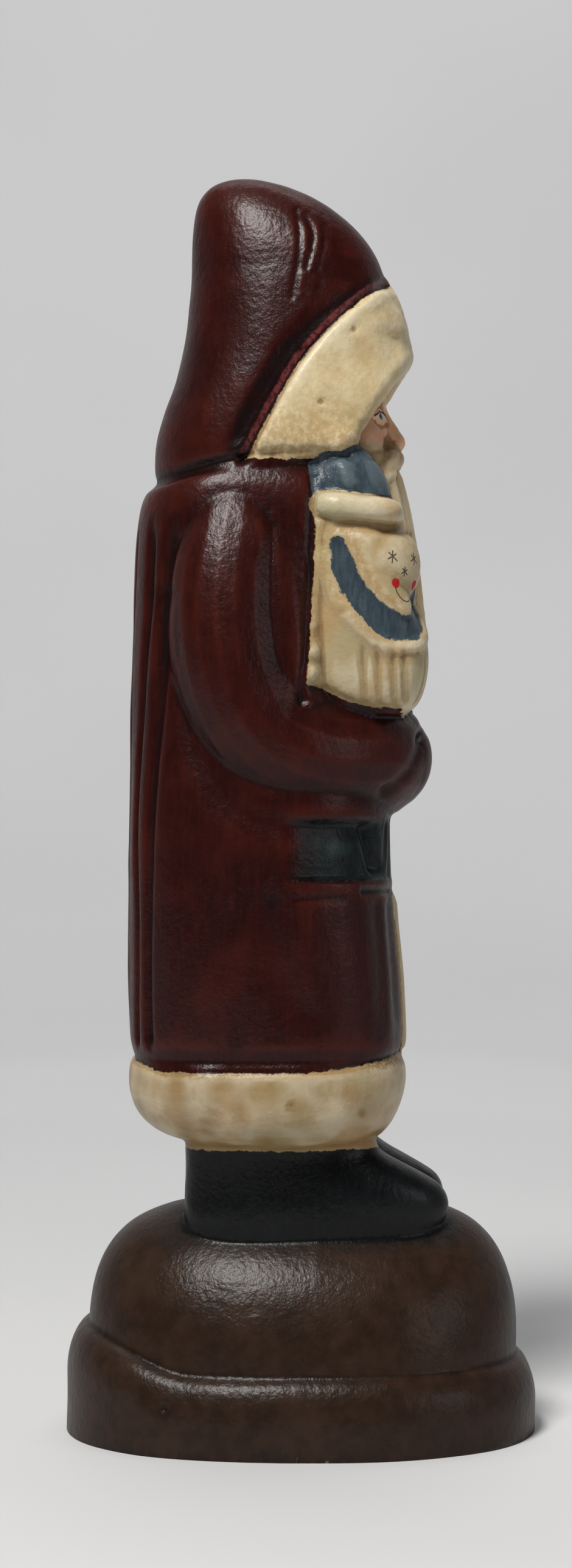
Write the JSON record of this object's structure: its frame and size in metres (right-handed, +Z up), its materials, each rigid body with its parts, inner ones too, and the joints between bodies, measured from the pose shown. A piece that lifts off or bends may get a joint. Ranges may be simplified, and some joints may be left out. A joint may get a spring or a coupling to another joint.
{
  "type": "santa figurine",
  "caption": "Standing Father Christmas figurine in a hooded coat with a doll in the crook of one arm, cast in one with a domed brown base.",
  "frame": {"origin": "centre of the base's underside", "axes": "+Z up, the figure faces -Y, its right side is -X and its left side +X"},
  "size_m": [0.0744, 0.0956, 0.2543],
  "materials": {
    "painted_plaster": "hand-painted and varnished, satin: oxblood coat, cream trim, slate blue, black boots, brown base"
  },
  "bodies": {
    "root": {"santa_figurine": "painted_plaster"}
  },
  "joints": []
}
